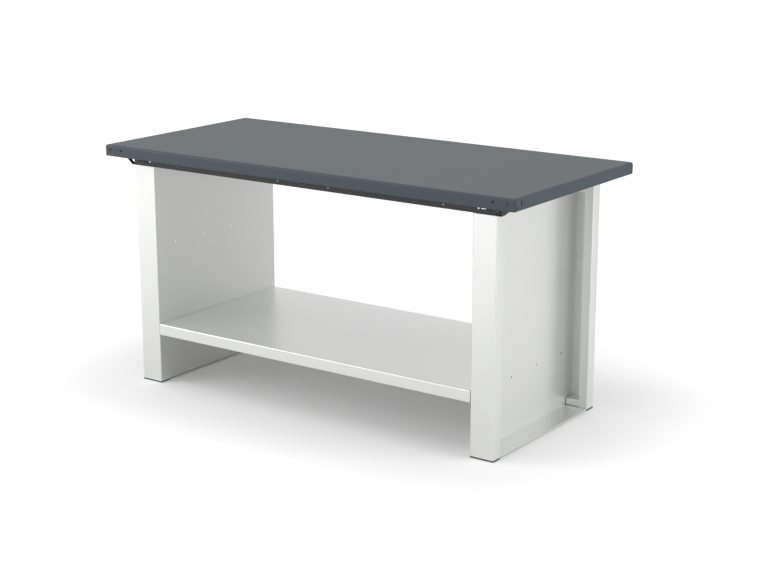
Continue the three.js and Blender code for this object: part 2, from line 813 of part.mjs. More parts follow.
function shelfRib(y) {
  const section = hatSection(shelfTop - shelfSheet, shelfRibDepth).map(([u, v]) => [u + y, v]);
  const reach = webFace - shelfSheet - screwHeadHeight - ribEndPlay;
  return drawnOut(bentSheet(section, ribSheet, ribBend), "x", -reach, reach);
}

const sidesX = [[-1, "left"], [1, "right"]];
const sidesY = [[-1, "front"], [1, "rear"]];
const webHolePitches = { left: leftWebHolePitch, right: rightWebHolePitch };
const ribPitch = 2 * (sideRailFace - railSheet) / ribCount;
const shelfRibPitch = 2 * (frameFace - shelfSheet) / (shelfRibCount + 1);

addPiece("worktop", worktop(), "worktop");
spread(ribCount, ribPitch).forEach((x, i) => {
  addPiece(`top_rib_${i + 1}`, topRib(x), "underframe");
});
for (const [sideY, nameY] of sidesY) {
  addPiece(`${nameY}_rail`, longRail(sideY), "underframe");
  longStudRow(sideY).forEach((place, i) => {
    addPiece(`${nameY}_worktop_nut_${i + 1}`, studNut(place), "zinc");
  });
}
for (const [sideX, nameX] of sidesX) {
  addPiece(`${nameX}_side_rail`, sideRail(sideX), "underframe");
  sideStudRow(sideX).forEach((place, i) => {
    addPiece(`${nameX}_worktop_nut_${i + 1}`, studNut(place), "zinc");
  });
  addPiece(`${nameX}_end_frame`, endFrame(sideX, webHolePitches[nameX]), "frame");
}
for (const [sideX, nameX] of sidesX) {
  for (const [sideY, nameY] of sidesY) {
    const corner = `${nameY}_${nameX}`;
    addPiece(`${corner}_head_bracket`, headBracket(sideX, sideY), "frame");
    addPiece(`${corner}_foot_bracket`, footBracket(sideX, sideY), "frame");
    addPiece(`${corner}_foot_pad`, footPad(sideX, sideY), "pad");
    addPiece(`${corner}_brace_rivet`, braceRivet(sideX, sideY), "zinc");
    boltPlaces(sideX, sideY).forEach((place, i) => {
      addPiece(`${corner}_frame_bolt_${i + 1}`, frameBolt(place), "zinc");
    });
  }
}

addPiece("shelf", shelf(), "frame");
spread(shelfRibCount, shelfRibPitch).forEach((y, i) => {
  addPiece(`shelf_rib_${i + 1}`, shelfRib(y), "frame");
});
for (const [sideX, nameX] of sidesX) {
  shelfScrewPlaces(sideX).forEach((place, i) => {
    addPiece(`${nameX}_shelf_screw_${i + 1}`, shelfScrew(sideX, place), "blackened");
  });
}

export default group;
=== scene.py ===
# %% [markdown]
# # A sheet steel workbench
# A workbench like this is folded from a few sheets of steel, powder coated and bolted
# together. The frame loaded here already holds every piece at its real size and place.
# This lesson remakes them with finer bends, softened edges and real finishes, and sets
# up a plain studio around them.

# %% Load the frame
import math

import bmesh
import bpy
from mathutils import Matrix, Vector


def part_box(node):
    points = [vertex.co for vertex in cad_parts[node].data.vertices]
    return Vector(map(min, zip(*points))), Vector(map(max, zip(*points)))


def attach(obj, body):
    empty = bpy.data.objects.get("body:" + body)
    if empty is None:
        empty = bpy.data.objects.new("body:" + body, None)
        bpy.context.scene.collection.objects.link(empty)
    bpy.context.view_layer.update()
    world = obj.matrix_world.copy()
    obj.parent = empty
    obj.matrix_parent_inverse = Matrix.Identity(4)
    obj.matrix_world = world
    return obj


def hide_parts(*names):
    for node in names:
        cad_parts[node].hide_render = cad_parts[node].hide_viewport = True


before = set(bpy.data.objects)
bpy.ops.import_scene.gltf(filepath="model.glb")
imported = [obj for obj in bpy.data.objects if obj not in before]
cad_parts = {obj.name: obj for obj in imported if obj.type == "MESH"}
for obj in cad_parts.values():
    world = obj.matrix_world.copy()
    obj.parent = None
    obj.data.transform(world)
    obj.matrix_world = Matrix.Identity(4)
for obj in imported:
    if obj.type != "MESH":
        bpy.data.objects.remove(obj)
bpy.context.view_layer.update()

print("nodes in the frame:", len(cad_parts))

# %% [markdown]
# ## The camera
# The photograph is taken from the bench's right front, a little above the worktop, with
# a long lens. A fit to the bench's own corners gave the camera's place, its two angles
# and the focal length, so nothing is moved by eye.

# %% Camera
sensor_width = 36.0
focal_length = 76.60
camera_place = Vector((3.2085, -4.3975, 1.8070))
camera_azimuth = math.radians(35.316)
camera_elevation = math.radians(14.704)

camera_data = bpy.data.cameras.new("camera")
camera_data.sensor_width = sensor_width
camera_data.lens = focal_length
camera = bpy.data.objects.new("camera", camera_data)
camera.location = camera_place
camera.rotation_euler = (math.pi / 2 - camera_elevation, 0, camera_azimuth)
bpy.context.scene.collection.objects.link(camera)
bpy.context.scene.camera = camera
print("camera is", round(camera_place.length, 2), "m from the foot of the bench")

# %% [markdown]
# ## Planes to build on
# A sheet metal part is drawn from the planes of its faces. They are read off the frame,
# so no piece can drift from the solid it stands for. Only what a box doesn't tell, such
# as the thickness of a sheet or the width of a lip, is written down.

# %% Planes of the bench
mm = 0.001
top_low, top_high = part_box("worktop")
end_low, end_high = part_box("right_end_frame")
rail_low, rail_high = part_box("front_rail")
side_low, side_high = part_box("right_side_rail")
shelf_low, shelf_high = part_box("shelf")

web_face, frame_end = end_low.x, end_high.x
frame_face = end_high.y
frame_foot, post_top = end_low.z, end_high.z
top_underside = rail_high.z
post_width = frame_end - web_face
print("post width:", round(post_width / mm, 1), "mm")

# %% Sizes of the sheets
frame_sheet = 2 * mm
frame_bend = 1.5 * mm
post_depth = 44 * mm
post_lip = 32 * mm
head_flange = 40 * mm
fold_relief = 2 * mm
relief_overrun = 0.5 * mm

top_sheet = 2 * mm
top_bend = 8 * mm
skirt_bend = 3 * mm
long_return = 18 * mm
end_return = 40 * mm
corner_slit = 3 * mm

rail_sheet = 2 * mm
rail_bend = 1.5 * mm
rail_flange = rail_high.y - rail_low.y
rail_end = frame_end - 4 * mm
brace_width = 14 * mm
brace_corner = side_high.x + 7 * mm
brace_slope = math.radians(40)
brace_tab = 18 * mm
side_flange = side_high.x - side_low.x
side_lip = 12 * mm
snug_play = 0.3 * mm
bracket_sheet = 2 * mm
bracket_bend = 1 * mm
side_flange_play = 2 * mm

shelf_sheet = 1.5 * mm
shelf_bend = 1.5 * mm
shelf_return = 15 * mm
shelf_end_gap = 2 * mm
shelf_fold_reach = 12 * mm

post_back = frame_face - post_depth
skirt_foot = top_low.z
cut_overrun = 5 * mm
left_and_right = (("left", -1), ("right", 1))
front_and_rear = (("front", -1), ("rear", 1))
print("skirt height:", round((top_high.z - skirt_foot) / mm, 1), "mm")

# %% [markdown]
# ## How a folded sheet is made here
# A press brake folds a flat sheet along straight lines. Here the middle line of the
# sheet is drawn as a chain of points, swept along the bench, and each fold is rounded
# with a bevel of the true bend radius. A Solidify modifier then gives it thickness. The
# same few steps make a frame, a shelf, a rail or a rib.

# %% A folded sheet
bend_steps = 6
same_place = 1e-6
merge_distance = 1e-7
axis_vectors = {"x": Vector((1, 0, 0)), "y": Vector((0, 1, 0)), "z": Vector((0, 0, 1))}


def in_space(axis, along, u, v):
    """A point of a section that is swept along an axis. Sections lie in yz, xz or xy."""
    places = {"x": (along, u, v), "y": (u, along, v), "z": (u, v, along)}
    return Vector(places[axis])


def near(value, plane):
    return abs(value - plane) < same_place


def drawn_out(bm, edges, *moves):
    """Draws a row of edges out into faces, one move after another."""
    for move in moves:
        swept = bmesh.ops.extrude_edge_only(bm, edges=edges)["geom"]
        moved = {item for item in swept if isinstance(item, bmesh.types.BMVert)}
        bmesh.ops.translate(bm, verts=list(moved), vec=move)
        swept_edges = [item for item in swept if isinstance(item, bmesh.types.BMEdge)]
        edges = [edge for edge in swept_edges if moved.issuperset(edge.verts)]


def cut_opening(bm, axis, plane, cuts, inside):
    """Splits the flat faces of one plane along some cuts, and deletes those that lie inside."""
    def in_plane():
        return [face for face in bm.faces if all(near(getattr(vert.co, axis), plane) for vert in face.verts)]

    for place, normal in cuts:
        faces = in_plane()
        edges = {edge for face in faces for edge in face.edges}
        verts = {vert for face in faces for vert in face.verts}
        bmesh.ops.bisect_plane(bm, geom=[*verts, *edges, *faces], plane_co=place, plane_no=normal,
                               dist=merge_distance)
    gone = [face for face in in_plane() if inside(face.calc_center_median())]
    bmesh.ops.delete(bm, geom=gone, context="FACES")


def rounded(bm, edges, radius, steps):
    """Rounds some edges by a bevel of so many steps."""
    bmesh.ops.bevel(bm, geom=edges, offset=radius, offset_type="OFFSET", affect="EDGES",
                    segments=steps, profile=0.5, material=-1)


def rounded_rim(bm, level, radius, steps):
    """Rounds the edges that lie at one height."""
    rim = [edge for edge in bm.edges if all(near(vert.co.z, level) for vert in edge.verts)]
    rounded(bm, rim, radius, steps)


def folded_sheet(bm, corners, axis, low, high, sheet, inside_bend):
    """Adds the middle surface of a folded sheet to bm."""
    points = [bm.verts.new(in_space(axis, low, u, v)) for u, v in corners]
    chain = [bm.edges.new(pair) for pair in zip(points, points[1:])]
    drawn_out(bm, chain, axis_vectors[axis] * (high - low))
    for i in range(1, len(corners) - 1):
        round_fold(bm, corners, i, axis, sheet, inside_bend)


def round_fold(bm, corners, i, axis, sheet, inside_bend):
    """Rounds the fold that runs along the axis from the section's corner i."""
    before, corner, after = (Vector(corners[j]) for j in (i - 1, i, i + 1))
    turn = (corner - before).angle(after - corner)
    reach = (inside_bend + sheet / 2) * math.tan(turn / 2)
    at_corner = in_space(axis, 0, *corners[i])
    direction = axis_vectors[axis]

    def on_line(vert):
        offset = vert.co - at_corner
        return (offset - direction * offset.dot(direction)).length < same_place

    rounded(bm, [edge for edge in bm.edges if all(on_line(vert) for vert in edge.verts)], reach, bend_steps)


print("each right-angled bend has", bend_steps, "steps of", 90 / bend_steps, "degrees")

# %% [markdown]
# ## Cutting holes
# The laser cuts holes and slots before the sheet is folded. It is simpler to cut them
# from the finished form, with rods and boxes that one Boolean takes away together.

# %% Cutters
hole_sides = 32
small_hole_sides = 20


def through(face, sheet, side=1):
    """Where a cut through a sheet starts and ends, from the place of the sheet's outer face."""
    return [side * (face - sheet - cut_overrun), side * (face + cut_overrun)]


def add_box(bm, low, high):
    """Adds a box between two opposite corners, given in any order."""
    a, b = Vector(low), Vector(high)
    size = [abs(t - s) for s, t in zip(a, b)]
    place = Matrix.Translation((a + b) / 2) @ Matrix.Diagonal((*size, 1))
    bmesh.ops.create_cube(bm, size=1, matrix=place)


def add_rod(bm, axis, radius, start, end, through, sides=hole_sides, end_radius=None):
    """Adds a closed rod or cone along an axis, from start to end on it, through a point."""
    turn = {"x": Matrix.Rotation(math.pi / 2, 4, "Y"), "y": Matrix.Rotation(-math.pi / 2, 4, "X"),
            "z": Matrix.Identity(4)}[axis]
    place = Vector(through)
    place["xyz".index(axis)] = (start + end) / 2
    if end < start:
        turn = turn @ Matrix.Rotation(math.pi, 4, "X")
    tip = radius if end_radius is None else end_radius
    made = bmesh.ops.create_cone(bm, cap_ends=True, segments=sides, radius1=radius, radius2=tip,
                                 depth=abs(end - start), matrix=Matrix.Translation(place) @ turn)
    return made["verts"]


def add_slot(bm, axis, width, start, end, first, last):
    """Adds a slot with round ends, its end centres given: two rods and a box between them."""
    a, b = Vector(first), Vector(last)
    for through in (a, b):
        add_rod(bm, axis, width / 2, start, end, through)
    across = Vector([width / 2 if near(s, t) else 0 for s, t in zip(a, b)])
    low, high = a - across, b + across
    low["xyz".index(axis)], high["xyz".index(axis)] = start, end
    add_box(bm, low, high)


print("a round hole has", hole_sides, "sides")

# %% [markdown]
# ## From surface to finished piece
# A piece goes through the stages of the shop floor: thickness, holes and deburring. The
# last is a narrow bevel on every sharp edge, which catches the light on real sheet
# metal. Normals weighted by face keep the broad faces dead flat.

# %% Finishing a piece
edge_radius = 0.35 * mm
sharp_angle = math.radians(40)


def mesh_object(name, bm):
    """Turns a bmesh into an object of that name in the scene."""
    mesh = bpy.data.meshes.new(name)
    bm.to_mesh(mesh)
    bm.free()
    piece = bpy.data.objects.new(name, mesh)
    bpy.context.scene.collection.objects.link(piece)
    return piece


def add_modifier(piece, kind, **settings):
    """Puts a modifier with these settings on the piece."""
    modifier = piece.modifiers.new(kind.lower(), kind)
    for name, setting in settings.items():
        setattr(modifier, name, setting)


def apply_modifiers(piece):
    """Makes the piece's evaluated mesh its own, and drops its modifiers."""
    graph = bpy.context.evaluated_depsgraph_get()
    mesh = bpy.data.meshes.new_from_object(piece.evaluated_get(graph))
    piece.modifiers.clear()
    old = piece.data
    piece.data = mesh
    bpy.data.meshes.remove(old)
    mesh.name = piece.name


def thicken(piece, sheet, offset=0):
    """Gives a surface its thickness, half to each side, or all inwards with offset -1."""
    add_modifier(piece, "SOLIDIFY", thickness=sheet, offset=offset, use_even_offset=True)
    apply_modifiers(piece)


def cut_away(piece, cutters):
    """Takes the solids in a bmesh away from the piece."""
    bmesh.ops.recalc_face_normals(cutters, faces=cutters.faces)
    tool = mesh_object("cutters", cutters)
    add_modifier(piece, "BOOLEAN", operation="DIFFERENCE", solver="EXACT", use_self=True, object=tool)
    apply_modifiers(piece)
    bpy.data.objects.remove(tool)


def drill(piece, radius, ends, places, sides=small_hole_sides):
    """Drills upright holes through a piece."""
    holes = bmesh.new()
    for place in places:
        add_rod(holes, "z", radius, *ends, place, sides)
    cut_away(piece, holes)


def weld(piece, *others):
    """Joins other pieces to a piece by a union, and removes them."""
    for other in others:
        add_modifier(piece, "BOOLEAN", operation="UNION", solver="EXACT", object=other)
        apply_modifiers(piece)
        bpy.data.objects.remove(other)


def folded_piece(name, sheet, inside_bend, *lines):
    """One piece from folded sheets, each given as its corners, an axis, and where it starts and ends."""
    parts = []
    for corners, axis, low, high in lines:
        bm = bmesh.new()
        folded_sheet(bm, corners, axis, low, high, sheet, inside_bend)
        part = mesh_object(name, bm)
        thicken(part, sheet)
        parts.append(part)
    weld(parts[0], *parts[1:])
    return parts[0]


def soften(piece, radius, steps):
    """Rounds the sharp edges a little, and shades the rest smooth."""
    for face in piece.data.polygons:
        face.use_smooth = True
    add_modifier(piece, "BEVEL", width=radius, segments=steps, limit_method="ANGLE",
                 angle_limit=sharp_angle, profile=0.5, use_clamp_overlap=True)
    add_modifier(piece, "WEIGHTED_NORMAL", keep_sharp=True)
    apply_modifiers(piece)


def seat(piece, slot, *nodes, edge=edge_radius, steps=2):
    """Softens a piece and gives it its slot's finish. It rides on the bench, and retires its nodes."""
    soften(piece, edge, steps)
    piece.data.materials.clear()
    piece.data.materials.append(finishes[slot])
    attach(piece, "root")
    if nodes:
        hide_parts(*nodes)
    bpy.context.view_layer.update()
    size = [round(side / mm, 1) for side in piece.dimensions]
    print(piece.name, "is", size, "mm, with", len(piece.data.polygons), "faces")


# %% [markdown]
# ## Writing materials as expressions
# A node tree is easier to read as a formula. This small class wraps a socket, so that
# `1 - mask * 0.5` adds its Math nodes by itself, and `node` makes any other node.

# %% A socket that does sums
class Value:
    """A node's output socket, with arithmetic."""

    def __init__(self, tree, socket):
        self.tree = tree
        self.socket = socket

    def sum_node(self, operation, first, second):
        return node(self.tree, "ShaderNodeMath", {"operation": operation}, {0: first, 1: second})

    def __add__(self, other):
        return self.sum_node("ADD", self, other)

    def __sub__(self, other):
        return self.sum_node("SUBTRACT", self, other)

    def __rsub__(self, other):
        return self.sum_node("SUBTRACT", other, self)

    def __mul__(self, other):
        return self.sum_node("MULTIPLY", self, other)

    def largest(self, other):
        return self.sum_node("MAXIMUM", self, other)

    __radd__ = __add__
    __rmul__ = __mul__


def feed(tree, sockets, inputs):
    """Gives each named socket its value or its link."""
    for key, given in inputs.items():
        if isinstance(given, Value):
            tree.links.new(given.socket, sockets[key])
        else:
            sockets[key].default_value = given


def node(tree, kind, settings, inputs, output=0):
    """Adds a node: its settings first, then its inputs."""
    made = tree.nodes.new(kind)
    for name, setting in settings.items():
        if name == "stops":
            set_ramp(made.color_ramp, setting)
        else:
            setattr(made, name, setting)
    feed(tree, made.inputs, inputs)
    return Value(tree, made.outputs[output])


def set_ramp(ramp, stops):
    """Writes a colour ramp's stops, each a place and a grey level."""
    while len(ramp.elements) < len(stops):
        ramp.elements.new(1)
    for element, (place, level) in zip(ramp.elements, stops):
        element.position = place
        element.color = (level, level, level, 1)


def noise(tree, where, scale, detail=2.0, roughness=0.5):
    """Fractal noise from 0 to 1 on object coordinates, its scale in waves to the metre."""
    return node(tree, "ShaderNodeTexNoise", {},
                {"Vector": where, "Scale": scale, "Detail": detail, "Roughness": roughness})


def object_place(tree):
    return node(tree, "ShaderNodeTexCoord", {}, {}, "Object")


def tinted(tree, mask, first, second):
    """A colour between two, chosen by a mask from 0 to 1."""
    return node(tree, "ShaderNodeMix", {"data_type": "RGBA"},
                {0: mask, 6: (*first, 1), 7: (*second, 1)}, 2)


def bumped(tree, height, depth):
    """A normal from a height from 0 to 1, that stands for a relief so many metres deep."""
    return node(tree, "ShaderNodeBump", {}, {"Distance": depth, "Height": height})


def new_material(name, build):
    """Makes a material whose Principled sockets come from build(tree)."""
    material = bpy.data.materials.new(name)
    material.use_nodes = True
    tree = material.node_tree
    feed(tree, tree.nodes["Principled BSDF"].inputs, build(tree))
    print("material", name, "has", len(tree.nodes), "nodes")
    return material


# %% [markdown]
# ## Powder coat
# Powder coat is sprayed on as dust and melts into a skin. It is never quite flat: under
# a lamp it shows a soft orange peel with cells of a millimetre or two. The frame's satin
# silver-grey has fine metal flakes in it and mirrors its surroundings in a blurred way,
# which a part metallic shader gives. The worktop is plain blue-grey, its rails charcoal.

# %% Powder coats
peel_per_metre = 620
peel_depth = 0.012 * mm
grain_per_metre = 2600
grain_depth = 0.002 * mm
cloud_per_metre = 4
gloss_drift = 0.04


def powder_coat(name, dark, light, metallic, roughness, specular=0.5):
    """A coat that drifts a little in tone and gloss, over an orange peel."""
    def build(tree):
        where = object_place(tree)
        cloud = noise(tree, where, cloud_per_metre, 3)
        peel = noise(tree, where, peel_per_metre, 1)
        grain = noise(tree, where, grain_per_metre, 1)
        relief = bumped(tree, peel + grain * (grain_depth / peel_depth), peel_depth)
        return {
            "Base Color": tinted(tree, cloud, dark, light),
            "Metallic": metallic,
            "Specular IOR Level": specular,
            "Roughness": cloud * gloss_drift + grain * gloss_drift + (roughness - gloss_drift),
            "Normal": relief,
        }

    return new_material(name, build)


finishes = {
    "frame_paint":
        powder_coat("silver_grey_coat", (0.77, 0.779, 0.764), (0.80, 0.809, 0.794), 0.62, 0.31),
    "worktop_paint":
        powder_coat("slate_coat", (0.046, 0.06, 0.069), (0.051, 0.066, 0.076), 0.0, 0.5, 0.32),
    "underframe_paint":
        powder_coat("charcoal_coat", (0.021, 0.023, 0.025), (0.026, 0.028, 0.03), 0.0, 0.45, 0.35),
}

# %% [markdown]
# ## Plastic and bare metal
# The foot pads are moulded in a dull slate blue with a fine spark-eroded grain. Bolts,
# nuts and rivets are zinc plated, which is bright, slightly blue and faintly mottled,
# and the shelf's screws are blackened.

# %% Plastic and plated steel
spark_grain_per_metre = 900
spark_grain_depth = 0.03 * mm
streak_per_metre = 25
mottle_per_metre = 240
mottle_depth = 0.01 * mm


def moulded(tree):
    where = object_place(tree)
    grain = noise(tree, where, spark_grain_per_metre)
    streak = noise(tree, where, streak_per_metre)
    return {
        "Base Color": tinted(tree, streak, (0.022, 0.032, 0.045), (0.03, 0.042, 0.057)),
        "Roughness": grain * 0.12 + 0.5,
        "Normal": bumped(tree, grain, spark_grain_depth),
    }


def plated(dark, light, roughness):
    def build(tree):
        where = object_place(tree)
        mottle = noise(tree, where, mottle_per_metre, 4, 0.6)
        return {
            "Base Color": tinted(tree, mottle, dark, light),
            "Metallic": 1.0,
            "Roughness": mottle * 0.15 + roughness,
            "Normal": bumped(tree, mottle, mottle_depth),
        }

    return build


zinc = plated((0.55, 0.58, 0.62), (0.72, 0.74, 0.75), 0.25)
black = plated((0.03, 0.03, 0.032), (0.055, 0.055, 0.06), 0.35)
finishes["pad_plastic"] = new_material("pad_plastic", moulded)
finishes["zinc_steel"] = new_material("zinc_plate", zinc)
finishes["black_steel"] = new_material("black_plate", black)

# %% [markdown]
# ## End frames
# Each end is one sheet: lip, flank, face, web, face, flank and lip, with a flange at the
# web's foot and head. Boxes would lose the bends and the open posts. Here one section is
# swept upwards, the web's ends are cut out between the posts, and a flange is drawn out
# of each cut edge and folded, as on the press brake. The short slits beside the flanges
# are the relief cuts of such a fold.

# %% End frame sizes
web_hole_radius = 3 * mm
web_hole_pitches = {"left": 150 * mm, "right": 161 * mm}
web_holes_per_row = 4
web_row_heights = (200 * mm, 500 * mm)
flank_hole_radius = 1.6 * mm
flank_hole_inset = 9 * mm
flank_hole_shares = (0.035, 0.504, 0.829, 0.971)
back_hole_radius = 2.2 * mm
back_hole_inset = 13 * mm
back_hole_heights = (247.5 * mm, 495 * mm)
back_hole_sides = 24
base_hole_radius = 2.5 * mm
base_hole_inset = 46 * mm
base_hole_post_gap = 29 * mm


def spread_out(count, pitch):
    """Places that are spread evenly about zero."""
    return [(i - (count - 1) / 2) * pitch for i in range(count)]


# %% End frame section and flanges
def end_frame_surface(side):
    half = frame_sheet / 2
    web, flank = side * (web_face + half), side * (frame_end - half)
    lip_edge = side * (frame_end - post_lip)
    face, lip = frame_face - half, post_back + half
    rear = [(web, face), (flank, face), (flank, lip), (lip_edge, lip)]
    front = [(x, -y) for x, y in reversed(rear)]
    bm = bmesh.new()
    folded_sheet(bm, front + rear, "z", frame_foot, post_top, frame_sheet, frame_bend)
    fold_zone = frame_sheet + frame_bend + relief_overrun
    flange_reach = post_back - fold_relief
    lowest, highest = frame_foot + fold_zone, post_top - fold_zone
    cuts = [((0, 0, level), (0, 0, 1)) for level in (lowest, highest)]
    cuts += [((0, y, 0), (0, 1, 0)) for y in (-post_back, -flange_reach, flange_reach, post_back)]
    cut_opening(bm, "x", web, cuts, lambda at: abs(at.y) < post_back and not lowest < at.z < highest)
    add_flange(bm, side, flange_reach, lowest, frame_foot + half, post_width)
    add_flange(bm, side, flange_reach, highest, post_top - half, head_flange)
    return bm


def add_flange(bm, side, flange_reach, level, height, width):
    """Draws a flange out of the web's cut edge, first up or down and then outwards, and folds it."""
    half = frame_sheet / 2
    web = side * (web_face + half)
    rim = [edge for edge in bm.edges if edge.is_boundary
           and all(near(vert.co.z, level) and near(vert.co.x, web) and abs(vert.co.y) < flange_reach + half
                   for vert in edge.verts)]
    drawn_out(bm, rim, (0, 0, height - level), (side * (width - half), 0, 0))
    corners = [(web, level), (web, height), (side * (web_face + width), height)]
    round_fold(bm, corners, 1, "y", frame_sheet, frame_bend)


def end_frame_cutters(side, name):
    """Holes of the web, the flanks, the back face and the base flange."""
    bm = bmesh.new()
    through_web = [side * (web_face + offset) for offset in (-cut_overrun, frame_sheet + cut_overrun)]
    through_flank = through(frame_end, frame_sheet, side)
    for height in web_row_heights:
        for y in spread_out(web_holes_per_row, web_hole_pitches[name]):
            add_rod(bm, "x", web_hole_radius, *through_web, (0, y, height))
    for share in flank_hole_shares:
        height = frame_foot + share * (post_top - frame_foot)
        for end in (-1, 1):
            y = end * (post_back + flank_hole_inset)
            add_rod(bm, "x", flank_hole_radius, *through_flank, (0, y, height), small_hole_sides)
    for height in back_hole_heights:
        place = (side * (web_face + back_hole_inset), 0, height)
        add_rod(bm, "y", back_hole_radius, *through(frame_face, frame_sheet), place, back_hole_sides)
    for end in (-1, 1):
        place = (side * (frame_end - base_hole_inset), end * (post_back - base_hole_post_gap), 0)
        through_base = through(frame_foot + frame_sheet, frame_sheet)
        add_rod(bm, "z", base_hole_radius, *through_base, place, back_hole_sides)
    return bm


# %% Build both end frames
for name, side in left_and_right:
    piece = mesh_object(f"{name}_end_frame_sheet", end_frame_surface(side))
    thicken(piece, frame_sheet)
    cut_away(piece, end_frame_cutters(side, name))
    seat(piece, "frame_paint", f"{name}_end_frame")

# %% [markdown]
# ## Shelf
# The shelf is a shallow tray turned over. Its long lips are folded down and back in at
# the foot, and a flange at each end stands against the web and is screwed to it.

# %% Shelf
shelf_screw_drop = 18 * mm
shelf_edge = 0.3 * mm


def shelf_tray():
    half = shelf_sheet / 2
    face, upper, lower = shelf_high.y - half, shelf_high.z - half, shelf_low.z + half
    rear = [(face, upper), (face, lower), (shelf_high.y - shelf_return, lower)]
    front = [(-y, z) for y, z in reversed(rear)]
    reach = web_face - shelf_end_gap
    return front + rear, "x", -reach, reach


def shelf_end(side):
    half = shelf_sheet / 2
    upper = shelf_high.z - half
    end = side * (web_face - half)
    corners = [(side * (web_face - shelf_fold_reach), upper), (end, upper), (end, shelf_low.z)]
    reach = frame_face - shelf_sheet - shelf_bend - fold_relief
    return corners, "y", -reach, reach


def shelf_cutters():
    bm = bmesh.new()
    for name, side in left_and_right:
        for y in spread_out(web_holes_per_row, web_hole_pitches[name]):
            place = (0, y, shelf_high.z - shelf_screw_drop)
            add_rod(bm, "x", web_hole_radius, *through(web_face, shelf_sheet, side), place)
    return bm


shelf = folded_piece("shelf_sheet", shelf_sheet, shelf_bend, shelf_tray(), shelf_end(-1), shelf_end(1))
cut_away(shelf, shelf_cutters())
seat(shelf, "frame_paint", "shelf", edge=shelf_edge)

# %% [markdown]
# ## Worktop
# The worktop is a tray too, upside down, with generous round edges along the top. A box
# with bevelled edges gives that form at once, corners included. Its floor is opened
# inside the returns, the shell is thickened inwards, and the corners are slit as the
# flat pattern leaves them.

# %% Worktop shell
top_bend_steps = 10


def worktop_surface():
    bm = bmesh.new()
    add_box(bm, top_low, top_high)
    rounded_rim(bm, top_high.z, top_bend, top_bend_steps)
    rounded_rim(bm, top_low.z, skirt_bend, bend_steps)
    mouth_x, mouth_y = top_high.x - end_return, top_high.y - long_return
    cuts = [((sign * mouth_x, 0, 0), (1, 0, 0)) for sign in (-1, 1)]
    cuts += [((0, sign * mouth_y, 0), (0, 1, 0)) for sign in (-1, 1)]
    cut_opening(bm, "z", top_low.z, cuts, lambda at: abs(at.x) < mouth_x and abs(at.y) < mouth_y)
    return bm


# %% Worktop cutters
skirt_hole_radius = 3.5 * mm
skirt_hole_insets = {-1: 21 * mm, 1: 25 * mm}
skirt_hole_pitch = 50 * mm
skirt_hole_drop = 17 * mm
corner_hole_radius = 2.8 * mm
corner_hole_inset = 17 * mm
corner_hole_rise = 11.5 * mm
pivot_hole_radius = 2.2 * mm
pivot_inset = 54 * mm
pivot_drop = 19 * mm
arc_radius = 15.5 * mm
arc_width = 5 * mm
arc_half_spread = math.radians(27)
arc_turn = math.radians(7)
arc_steps = 16
rivet_hole_radius = 2.7 * mm
brace_rise = skirt_foot - post_top - rail_sheet
brace_tab_start = brace_corner + brace_rise / math.tan(brace_slope)
rivet_x = brace_tab_start + brace_tab / 2
rivet_y = frame_face - brace_width / 2
pivot = Vector((0, pivot_inset - top_high.y, top_high.z - pivot_drop))


def add_arc_slot(bm, side):
    """A slot that follows a circle about the pivot hole, bulging to the front."""
    ends = through(top_high.x, top_sheet, side)
    first, last = -arc_turn - arc_half_spread, -arc_turn + arc_half_spread
    half = arc_width / 2
    section = [(ends[0], -half), (ends[1], -half), (ends[1], half), (ends[0], half)]
    start = Matrix.Rotation(first, 4, "X")
    rim = [bm.verts.new(pivot + start @ Vector((x, across - arc_radius, 0))) for x, across in section]
    face = bm.faces.new(rim)
    bmesh.ops.spin(bm, geom=[*rim, *face.edges, face], cent=pivot, axis=(1, 0, 0),
                   angle=2 * arc_half_spread, steps=arc_steps)
    open_edges = [edge for edge in bm.edges if edge.is_boundary]
    bmesh.ops.holes_fill(bm, edges=open_edges)
    for turn in (first, last):
        end = pivot + Matrix.Rotation(turn, 4, "X") @ Vector((0, -arc_radius, 0))
        add_rod(bm, "x", half, *ends, end)


def worktop_cutters():
    bm = bmesh.new()
    for side in (-1, 1):
        for step in (0, skirt_hole_pitch):
            place = (side * (top_high.x - skirt_hole_insets[side] - step), 0, top_high.z - skirt_hole_drop)
            for end in (-1, 1):
                add_rod(bm, "y", skirt_hole_radius, *through(top_high.y, top_sheet, end), place)
        ends = through(top_high.x, top_sheet, side)
        corner = (0, corner_hole_inset - top_high.y, skirt_foot + corner_hole_rise)
        add_rod(bm, "x", corner_hole_radius, *ends, corner)
        add_rod(bm, "x", pivot_hole_radius, *ends, pivot)
        for end in (-1, 1):
            place = (side * rivet_x, end * rivet_y, 0)
            add_rod(bm, "z", rivet_hole_radius, *through(skirt_foot + top_sheet, top_sheet), place)
    return bm


def seam_cutters():
    """The open corner seams between skirts, and between the returns."""
    bm = bmesh.new()
    below, above = through(skirt_foot + top_sheet, top_sheet)
    inner_x, inner_y = top_high.x - top_sheet, top_high.y - top_sheet
    return_end, return_side = top_high.x - end_return, top_high.y - skirt_bend
    slit_start = return_end - corner_slit
    boxes = [(inner_x, inner_y - corner_slit, top_high.x + cut_overrun, inner_y, top_high.z - top_bend),
             (slit_start, top_high.y - long_return - cut_overrun, return_end, return_side, above),
             (slit_start, return_side - corner_slit, inner_x, return_side, above)]
    for sx in (-1, 1):
        for sy in (-1, 1):
            for x1, y1, x2, y2, top in boxes:
                add_box(bm, (sx * x1, sy * y1, below), (sx * x2, sy * y2, top))
    return bm


# %% Build the worktop
worktop = mesh_object("worktop_tray", worktop_surface())
thicken(worktop, top_sheet, -1)
arcs = bmesh.new()
for side in (-1, 1):
    add_arc_slot(arcs, side)
for cutters in (seam_cutters(), worktop_cutters(), arcs):
    cut_away(worktop, cutters)
seat(worktop, "worktop_paint", "worktop")

